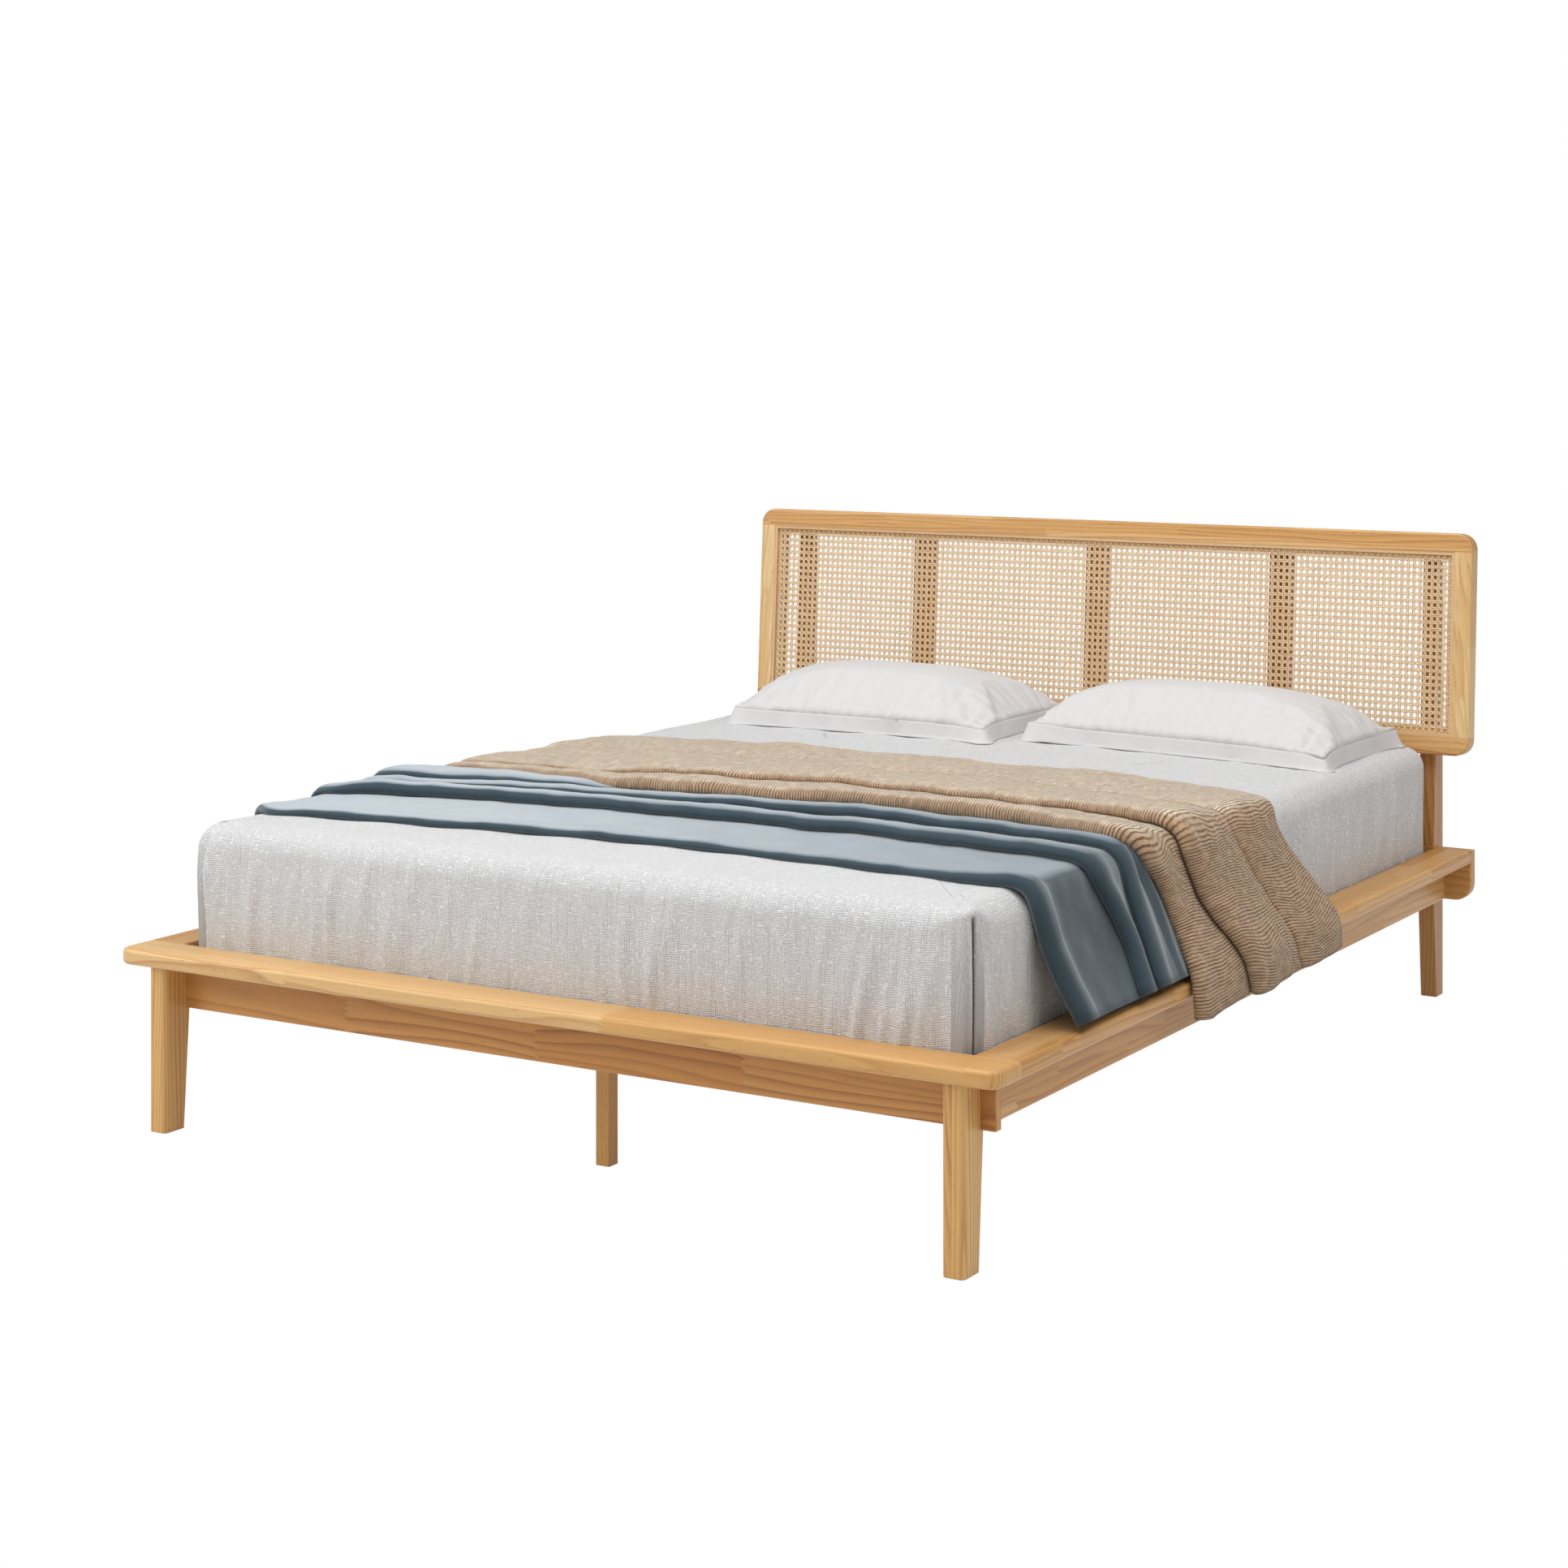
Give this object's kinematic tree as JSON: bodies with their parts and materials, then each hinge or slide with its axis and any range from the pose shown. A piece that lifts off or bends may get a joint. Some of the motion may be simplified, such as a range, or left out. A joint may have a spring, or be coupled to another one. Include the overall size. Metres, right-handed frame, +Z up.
{
  "type": "platform bed",
  "caption": "Low slatted platform bed in light solid wood with a ledge round the mattress, a leaning cane headboard, a mattress and folded bedding.",
  "frame": {"origin": "on the floor, below the middle of the bed's bounding box", "axes": "+Z up; +Y from the foot towards the headboard; +X across the bed, to the right seen from the foot"},
  "size_m": [1.748, 2.202, 0.9619],
  "materials": {
    "frame_wood": "clear satin lacquer on light knot-free pine, finger-jointed",
    "base_wood": "sanded, unfinished",
    "centre_leg_wood": "brown stain",
    "bead_wood": "clear satin lacquer",
    "cane": "natural woven cane, satin",
    "dowel_wood": "plain beech, unfinished",
    "zinc_steel": "zinc plated",
    "ticking": "plain ticking",
    "sheet_linen": "slubby light grey linen",
    "velvet": "blue-grey velvet",
    "crinkled_cloth": "crinkled taupe cotton",
    "pillow_cotton": "plain white cotton with a stitched flange"
  },
  "bodies": {
    "bed_frame": {"foot_board": "frame_wood", "left_side_board": "frame_wood", "right_side_board": "frame_wood", "head_cross_rail": "frame_wood", "foot_apron": "frame_wood", "left_side_rail": "frame_wood", "right_side_rail": "frame_wood", "front_left_leg": "frame_wood", "front_right_leg": "frame_wood", "rear_left_post": "frame_wood", "rear_right_post": "frame_wood", "headboard_top_rail": "frame_wood", "headboard_bottom_rail": "frame_wood", "headboard_left_stile": "frame_wood", "headboard_right_stile": "frame_wood", "headboard_upright_left": "frame_wood", "headboard_upright_middle": "frame_wood", "headboard_upright_right": "frame_wood", "centre_beam": "base_wood", "left_slat_cleat": "base_wood", "right_slat_cleat": "base_wood", "slat_01": "base_wood", "slat_02": "base_wood", "slat_03": "base_wood", "slat_04": "base_wood", "slat_05": "base_wood", "slat_06": "base_wood", "slat_07": "base_wood", "slat_08": "base_wood", "slat_09": "base_wood", "slat_10": "base_wood", "slat_11": "base_wood", "slat_12": "base_wood", "slat_13": "base_wood", "slat_14": "base_wood", "slat_15": "base_wood", "centre_leg_1": "centre_leg_wood", "centre_leg_2": "centre_leg_wood", "centre_leg_3": "centre_leg_wood", "cane_bead": "bead_wood", "cane_panel": "cane", "beam_hangers": "zinc_steel", "beam_hanger_screws": "zinc_steel", "centre_leg_studs": "zinc_steel", "corner_brackets": "zinc_steel", "corner_bolts": "zinc_steel", "threaded_inserts": "zinc_steel", "corner_bracket_screws": "zinc_steel", "cleat_screws": "zinc_steel", "slat_screws": "zinc_steel", "headboard_bolts": "zinc_steel", "ledge_dowels": "dowel_wood", "headboard_dowels": "dowel_wood"},
    "mattress_body": {"mattress": "ticking", "fitted_sheet": "sheet_linen"},
    "bed_covers": {"throw": "velvet", "blanket": "crinkled_cloth"},
    "left_pillow_body": {"left_pillow": "pillow_cotton"},
    "right_pillow_body": {"right_pillow": "pillow_cotton"}
  },
  "joints": [
    {"name": "mattress_lift", "type": "slide", "parent": "bed_frame", "child": "mattress_body", "axis": [0, 0, 1], "range_m": [0, 0.35]},
    {"name": "covers_lift", "type": "slide", "parent": "mattress_body", "child": "bed_covers", "axis": [0, 0, 1], "range_m": [0, 0.35]},
    {"name": "left_pillow_lift", "type": "slide", "parent": "mattress_body", "child": "left_pillow_body", "axis": [0, 0, 1], "range_m": [0, 0.25]},
    {"name": "right_pillow_lift", "type": "slide", "parent": "mattress_body", "child": "right_pillow_body", "axis": [0, 0, 1], "range_m": [0, 0.25]}
  ]
}
